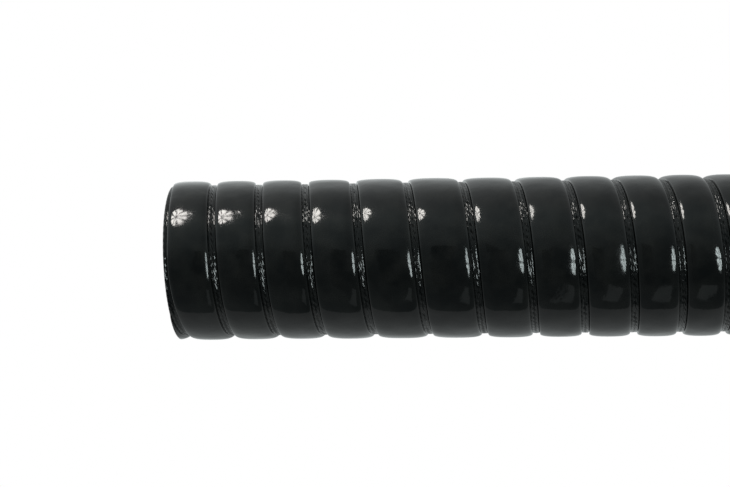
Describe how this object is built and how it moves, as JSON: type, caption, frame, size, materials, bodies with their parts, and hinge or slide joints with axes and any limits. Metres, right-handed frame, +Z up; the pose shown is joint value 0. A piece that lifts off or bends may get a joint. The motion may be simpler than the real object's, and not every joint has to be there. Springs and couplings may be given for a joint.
{
  "type": "reinforced flexible hose",
  "caption": "Straight length of flexible rubber hose with a helically corrugated wall, a smooth bore and plain cut ends.",
  "frame": {"origin": "centre of the box under the hose, on the surface it lies on", "axes": "+X along the hose from its out-of-square cut end to its square cut end, +Z up"},
  "size_m": [0.4999, 0.061, 0.061],
  "materials": {
    "hose_rubber": "glossy black"
  },
  "bodies": {
    "root": {"hose": "hose_rubber"}
  },
  "joints": []
}
